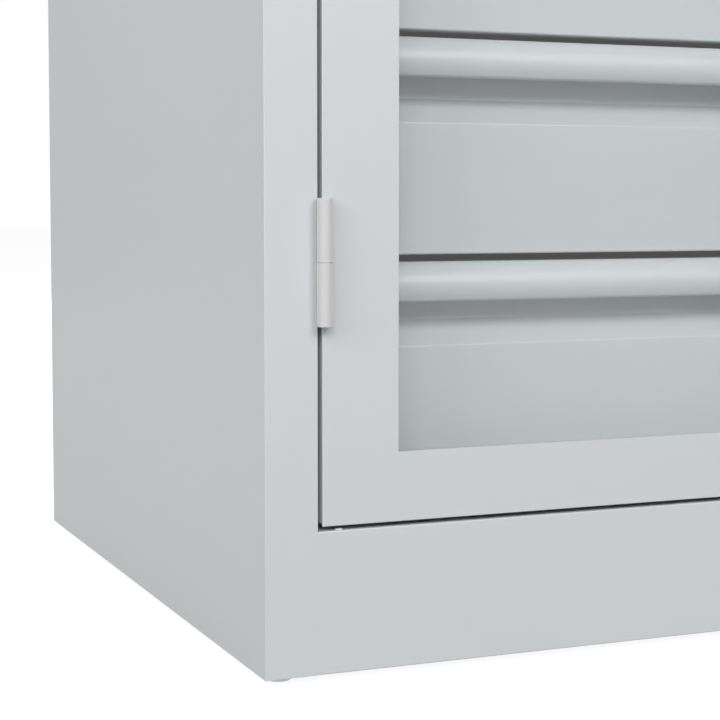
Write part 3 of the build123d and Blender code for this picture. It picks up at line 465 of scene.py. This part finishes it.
def apply_modifier(piece, kind, **settings):
    """Modifier with its settings, applied at once."""
    modifier = piece.modifiers.new(kind.lower(), kind)
    for name, value in settings.items():
        setattr(modifier, name, value)
    select_only(piece)
    bpy.ops.object.modifier_apply(modifier=modifier.name)


def combine(piece, other, operation):
    """One mesh joined to another or cut by it. The other is used up."""
    apply_modifier(piece, "BOOLEAN", object=other, operation=operation, solver="EXACT")
    bpy.data.objects.remove(other, do_unlink=True)


def finish_piece(piece, finish_slot, body, node=None, smooth_below=35):
    """Shading, finish and body of a finished piece, and the node that it stands for."""
    select_only(piece)
    bpy.ops.object.shade_smooth_by_angle(angle=math.radians(smooth_below))
    piece.data.materials.clear()
    piece.data.materials.append(FINISHES[finish_slot])
    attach(piece, body)
    if node:
        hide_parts(node)


LEVER_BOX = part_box("lever_handle")
BARREL_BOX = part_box("key_cylinder")
PLATE_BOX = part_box("lock_plate")
SPINDLE_X = (BARREL_BOX[0][0] + BARREL_BOX[1][0]) / 2
SPINDLE_Z = (BARREL_BOX[0][2] + BARREL_BOX[1][2]) / 2


def moulded_lever():
    """Lever of the lock: a round hub that flows into an oval grip with a broader end."""
    front, back = LEVER_BOX[0][1], LEVER_BOX[1][1]
    hub_depth = back - front
    reach = LEVER_BOX[1][0] - SPINDLE_X
    grip_rings = [
        (0, 0, 5.8 * MM, 10.8 * MM),
        (18 * MM, 0, 5.6 * MM, 10.4 * MM),
        (40 * MM, 0.6 * MM, 5.1 * MM, 9.4 * MM),
        (65 * MM, 1.0 * MM, 4.8 * MM, 8.9 * MM),
        (90 * MM, 1.0 * MM, 4.7 * MM, 9.5 * MM),
        (108 * MM, 0.8 * MM, 4.8 * MM, 10.5 * MM),
        (reach - 9 * MM, 0.6 * MM, 4.6 * MM, 10.2 * MM),
        (reach - 3.5 * MM, 0.5 * MM, 3.9 * MM, 8.4 * MM),
        (reach - 0.8 * MM, 0.5 * MM, 2.8 * MM, 5.6 * MM),
        (reach, 0.5 * MM, 1.2 * MM, 2.2 * MM),
    ]
    hub_rings = [
        (0, 15.2 * MM),
        (1.2 * MM, 16.5 * MM),
        (3 * MM, HUB_RADIUS),
        (hub_depth - 8 * MM, HUB_RADIUS),
        (hub_depth - 4.5 * MM, 16.4 * MM),
        (hub_depth - 2 * MM, 15 * MM),
        (hub_depth - 0.6 * MM, 13.2 * MM),
        (hub_depth, 11.4 * MM),
    ]
    hole_radius = BARREL_RADIUS + BARREL_PLAY
    hole_rings = [(0, hole_radius), (BARREL_DEPTH + 2 * MM, hole_radius)]
    grip_middle = front + 8 * MM
    lever = grown_bar("moulded_lever", (SPINDLE_X, grip_middle, SPINDLE_Z), grip_rings)
    hub = turned_piece("lever_hub", (SPINDLE_X, back, SPINDLE_Z), hub_rings, vertices=72)
    combine(lever, hub, "UNION")
    apply_modifier(lever, "REMESH", mode="VOXEL", voxel_size=0.8 * MM)
    apply_modifier(lever, "SMOOTH", factor=0.5, iterations=10)
    hole_start = (SPINDLE_X, front + BARREL_DEPTH, SPINDLE_Z)
    combine(lever, turned_piece("barrel_hole", hole_start, hole_rings, vertices=72), "DIFFERENCE")
    finish_piece(lever, "lever_plastic", "handle", "lever_handle", smooth_below=50)


def key_barrel():
    """Lock barrel with a chamfered rim and a keyway with a ward beside it."""
    front, back = BARREL_BOX[0][1], BARREL_BOX[1][1]
    depth = back - front
    sunk = 0.35 * MM
    rings = [
        (0, BARREL_RADIUS),
        (depth - 0.7 * MM, BARREL_RADIUS),
        (depth, 7.3 * MM),
        (depth, 6.6 * MM),
        (depth - sunk, 6.2 * MM),
    ]
    barrel = turned_piece("key_barrel", (SPINDLE_X, back, SPINDLE_Z), rings, vertices=72)
    keyway_size = (1.5 * MM, 11 * MM, 8.4 * MM)
    ward_size = (1.5 * MM, 10 * MM, 2.2 * MM)
    ward_place = (SPINDLE_X + 1.1 * MM, front + sunk, SPINDLE_Z + 1.4 * MM)
    combine(barrel, block(keyway_size, (SPINDLE_X, front + sunk, SPINDLE_Z)), "DIFFERENCE")
    combine(barrel, block(ward_size, ward_place), "DIFFERENCE")
    finish_piece(barrel, "cylinder_chrome", "cylinder", "key_cylinder")


def plate_screw(name, height):
    """Round-headed screw with a cross recess, on the plate of the lock."""
    front = PLATE_BOX[0][1] + 0.05 * MM
    z = SPINDLE_Z + height
    rings = [
        (0, 3.9 * MM),
        (0.5 * MM, 3.8 * MM),
        (1.1 * MM, 3.1 * MM),
        (1.5 * MM, 2.1 * MM),
        (1.6 * MM, 1.2 * MM),
    ]
    screw = turned_piece(name, (SPINDLE_X, front, z), rings)
    cutter_depth = 2 * MM
    cutter_middle = front - 1.4 * MM
    for width, length in ((CROSS_LENGTH, CROSS_WIDTH), (CROSS_WIDTH, CROSS_LENGTH)):
        arm = block((width, cutter_depth, length), (SPINDLE_X, cutter_middle, z))
        combine(screw, arm, "DIFFERENCE")
    finish_piece(screw, "zinc_steel", "right_door")


def turned_foot():
    """Foot at the origin: a disc with a rounded lower edge, a threaded stem and a hexagon socket."""
    low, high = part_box("front_left_foot")
    radius = (high[0] - low[0]) / 2
    height = high[2] - low[2]
    root_radius = STEM_RADIUS - THREAD_DEPTH
    rings = [
        (0, radius - 2.6 * MM),
        (0.25 * MM, radius - 1.7 * MM),
        (0.9 * MM, radius - 0.8 * MM),
        (1.9 * MM, radius - 0.2 * MM),
        (3.0 * MM, radius),
        (3.9 * MM, radius),
        (4.3 * MM, radius - 0.3 * MM),
        (DISC_HEIGHT, radius - 0.9 * MM),
        (DISC_HEIGHT, STEM_RADIUS),
    ]
    for turn in range(THREAD_TURNS):
        crest = THREAD_FROM + turn * THREAD_PITCH
        rings += [(crest, STEM_RADIUS), (crest + THREAD_PITCH / 2, root_radius)]
    rings.append((height, root_radius))
    foot = turned_piece("turned_foot", (0, 0, 0), rings)
    foot.rotation_euler = (-math.pi / 2, 0, 0)
    settle(foot)
    select_only()
    bpy.ops.mesh.primitive_cylinder_add(
        vertices=6, radius=SOCKET_RADIUS, depth=2 * SOCKET_DEPTH, location=(0, 0, height)
    )
    combine(foot, bpy.context.object, "DIFFERENCE")
    return foot


def place_feet():
    """One turned foot copied to the four corners, each with its own mesh."""
    pattern = turned_foot()
    for corner in ("front_left", "front_right", "rear_left", "rear_right"):
        node = f"{corner}_foot"
        low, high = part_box(node)
        foot = pattern.copy()
        foot.data = pattern.data.copy()
        foot.name = f"{corner}_turned_foot"
        bpy.context.scene.collection.objects.link(foot)
        foot.location = ((low[0] + high[0]) / 2, (low[1] + high[1]) / 2, low[2])
        settle(foot)
        finish_piece(foot, "zinc_steel", f"foot_{corner}", node)
    bpy.data.objects.remove(pattern, do_unlink=True)


moulded_lever()
key_barrel()
plate_screw("upper_plate_screw", SCREW_FROM_SPINDLE)
plate_screw("lower_plate_screw", -SCREW_FROM_SPINDLE)
place_feet()


def for_eye(tree, seen_value, light_value):
    """One value where the eye looks, also through a pane or off metal, and one for light on the cabinet."""
    path = new_node(tree, "ShaderNodeLightPath").outputs
    seen = math_node(tree, "MAXIMUM", path["Is Camera Ray"], path["Is Glossy Ray"])
    seen = math_node(tree, "MAXIMUM", seen, path["Is Transmission Ray"])
    before_diffuse = math_node(tree, "LESS_THAN", path["Diffuse Depth"], 0.5)
    seen = math_node(tree, "MULTIPLY", seen, before_diffuse)
    step = math_node(tree, "MULTIPLY", seen, seen_value - light_value)
    return math_node(tree, "ADD", step, light_value)


def studio_floor():
    """Wide pale floor that reads white to the eye and keeps the cabinet's soft shadow."""
    select_only()
    bpy.ops.mesh.primitive_plane_add(size=FLOOR_WIDTH, location=(0, 0, 0))
    floor = bpy.context.object
    floor.name = "studio_floor"
    finish, tree, shader = new_finish("floor_white")
    feed(tree, shader, {
        "Base Color": for_eye(tree, SEEN_SHADE, FLOOR_SHADE),
        "Roughness": 0.9,
        "Specular IOR Level": 0.0,
    })
    glow = new_node(tree, "ShaderNodeEmission", {"Strength": for_eye(tree, SEEN_GLOW, 0.0)})
    both = new_node(tree, "ShaderNodeAddShader", {0: shader.outputs[0], 1: glow.outputs[0]})
    feed(tree, tree.nodes["Material Output"], {"Surface": both.outputs[0]})
    floor.data.materials.append(finish)


def studio_world():
    """White to the eye, and a plain even light from all round."""
    world = bpy.data.worlds.new("studio")
    bpy.context.scene.world = world
    world.use_nodes = True
    tree = world.node_tree
    inputs = {"Color": (1.0, 1.0, 1.0, 1.0), "Strength": for_eye(tree, 1.0, ROUND_LIGHT)}
    feed(tree, tree.nodes["Background"], inputs)


def soft_lamp(name, place, aim, size, watts):
    """Square soft box, turned to face a point."""
    lamp = bpy.data.lights.new(name, "AREA")
    lamp.shape = "SQUARE"
    lamp.size = size
    lamp.energy = watts
    holder = bpy.data.objects.new(name, lamp)
    bpy.context.scene.collection.objects.link(holder)
    holder.location = place
    holder.rotation_euler = (Vector(aim) - Vector(place)).to_track_quat("-Z", "Y").to_euler()


def photo_camera():
    """Camera at the photograph's eye point."""
    camera = bpy.data.cameras.new("photo_camera")
    camera.lens = EYE_LENS
    camera.sensor_width = 36.0
    camera.shift_y = EYE_SHIFT
    camera.clip_start = 0.05
    holder = bpy.data.objects.new("photo_camera", camera)
    bpy.context.scene.collection.objects.link(holder)
    holder.location = EYE
    holder.rotation_euler = (math.radians(90 - EYE_DROP), 0, math.radians(-EYE_TURN))
    bpy.context.scene.camera = holder


studio_floor()
studio_world()
for lamp_name, (lamp_place, lamp_aim, lamp_size, lamp_watts) in LAMPS.items():
    soft_lamp(lamp_name, lamp_place, lamp_aim, lamp_size, lamp_watts)
photo_camera()
bpy.context.scene.view_settings.view_transform = "Standard"
